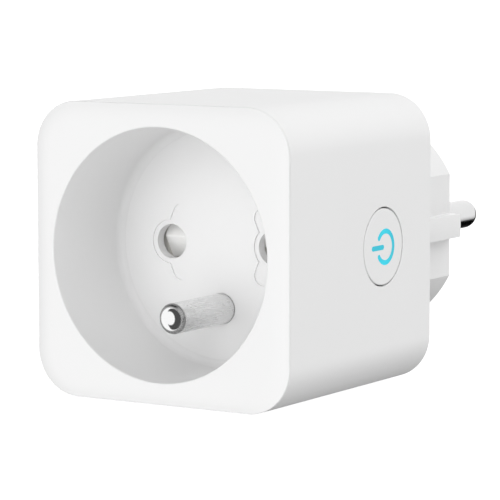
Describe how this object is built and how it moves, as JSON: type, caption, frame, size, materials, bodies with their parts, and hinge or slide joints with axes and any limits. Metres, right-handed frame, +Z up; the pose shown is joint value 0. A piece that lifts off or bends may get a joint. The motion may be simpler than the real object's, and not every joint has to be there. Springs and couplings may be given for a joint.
{
  "type": "plug in power meter",
  "caption": "Cube-shaped plug-in power meter: shuttered mains socket with earth pin in front, round plug boss behind, lit push button on the side.",
  "frame": {"origin": "centre of the plug boss's end face, midway between the plug pins", "axes": "+Y along the plug pins into the wall, +Z up, +X to the right when facing the socket"},
  "size_m": [0.046, 0.0827, 0.046],
  "materials": {
    "face_plastic": "white moulded plastic, satin gloss",
    "shell_plastic": "white moulded plastic, satin",
    "floor_plastic": "white moulded plastic, satin",
    "shutter_plastic": "light grey-white moulded plastic",
    "button_plastic": "white moulded plastic, satin",
    "lit_mark": "clear moulded plastic, lit cyan from behind",
    "pin_metal": "bright nickel plate",
    "earth_metal": "tinned brass strip",
    "inner_plastic": "natural white moulded plastic",
    "contact_metal": "phosphor bronze and brass strip",
    "spring_steel": "bright spring steel",
    "power_board": "green glass-fibre board",
    "control_board_resin": "green glass-fibre board",
    "relay_shell": "blue moulded plastic",
    "coil_wire": "enamelled copper winding",
    "relay_iron": "zinc plated iron",
    "fuse_ceramic": "white ceramic tube with plated caps",
    "varistor_coat": "blue epoxy coat",
    "chip_resin": "black moulded resin",
    "capacitor_sleeve": "dark sleeve on an aluminium can",
    "choke_sleeve": "black shrink sleeve on ferrite",
    "shunt_metal": "manganin strip",
    "link_metal": "gold plated pins",
    "shield_metal": "tinned steel can",
    "lamp_resin": "clear moulded lamp",
    "switch_resin": "black moulded plastic",
    "plunger_resin": "white moulded plastic"
  },
  "bodies": {
    "housing": {"front_cover": "face_plastic", "body_shell": "shell_plastic", "rear_cover": "shell_plastic", "socket_floor": "floor_plastic", "plug_pin_line": "pin_metal", "plug_pin_neutral": "pin_metal", "socket_earth_pin": "pin_metal", "earth_clip_top": "earth_metal", "earth_clip_bottom": "earth_metal", "earth_ring": "earth_metal", "earth_hole_contact": "earth_metal", "earth_strap": "earth_metal", "contact_carrier": "inner_plastic", "relay_bobbin": "inner_plastic", "line_contact": "contact_metal", "neutral_contact": "contact_metal", "line_busbar": "contact_metal", "neutral_busbar": "contact_metal", "relay_fixed_contact": "contact_metal", "contact_clips": "spring_steel", "shutter_spring": "spring_steel", "carrier_screws": "spring_steel", "switch_dome": "spring_steel", "main_board": "power_board", "control_board": "control_board_resin", "wifi_module": "control_board_resin", "relay_case": "relay_shell", "relay_base": "relay_shell", "relay_coil": "coil_wire", "relay_core": "relay_iron", "relay_yoke": "relay_iron", "fuse": "fuse_ceramic", "varistor": "varistor_coat", "bridge_rectifier": "chip_resin", "buck_regulator": "chip_resin", "metering_chip": "chip_resin", "smoothing_capacitors": "capacitor_sleeve", "inductor": "choke_sleeve", "current_shunt": "shunt_metal", "board_link_pins": "link_metal", "wifi_shield": "shield_metal", "status_leds": "lamp_resin", "switch_case": "switch_resin"},
    "button": {"button_cap": "button_plastic", "symbol_lens": "lit_mark", "switch_plunger": "plunger_resin"},
    "shutter_body": {"shutter": "shutter_plastic"},
    "armature": {"relay_armature": "relay_iron", "relay_contact_arm": "contact_metal"}
  },
  "joints": [
    {"name": "button_press", "type": "slide", "parent": "housing", "child": "button", "axis": [-1, 0, 0], "range_m": [0, 0.0004], "stiffness_N_per_m": 3000, "springref_m": -0.0001},
    {"name": "shutter_slide", "type": "slide", "parent": "housing", "child": "shutter_body", "axis": [0, 0, 1], "range_m": [0, 0.0057], "stiffness_N_per_m": 120, "springref_m": -0.003, "deforming": ["shutter_spring"]},
    {"name": "relay_armature_pull", "type": "hinge", "parent": "housing", "child": "armature", "pos_m": [0, -0.0102, -0.00415], "axis": [1, 0, 0], "range_deg": [0, 4.2], "stiffness_Nm_per_rad": 0.004, "springref_deg": -4.58}
  ]
}
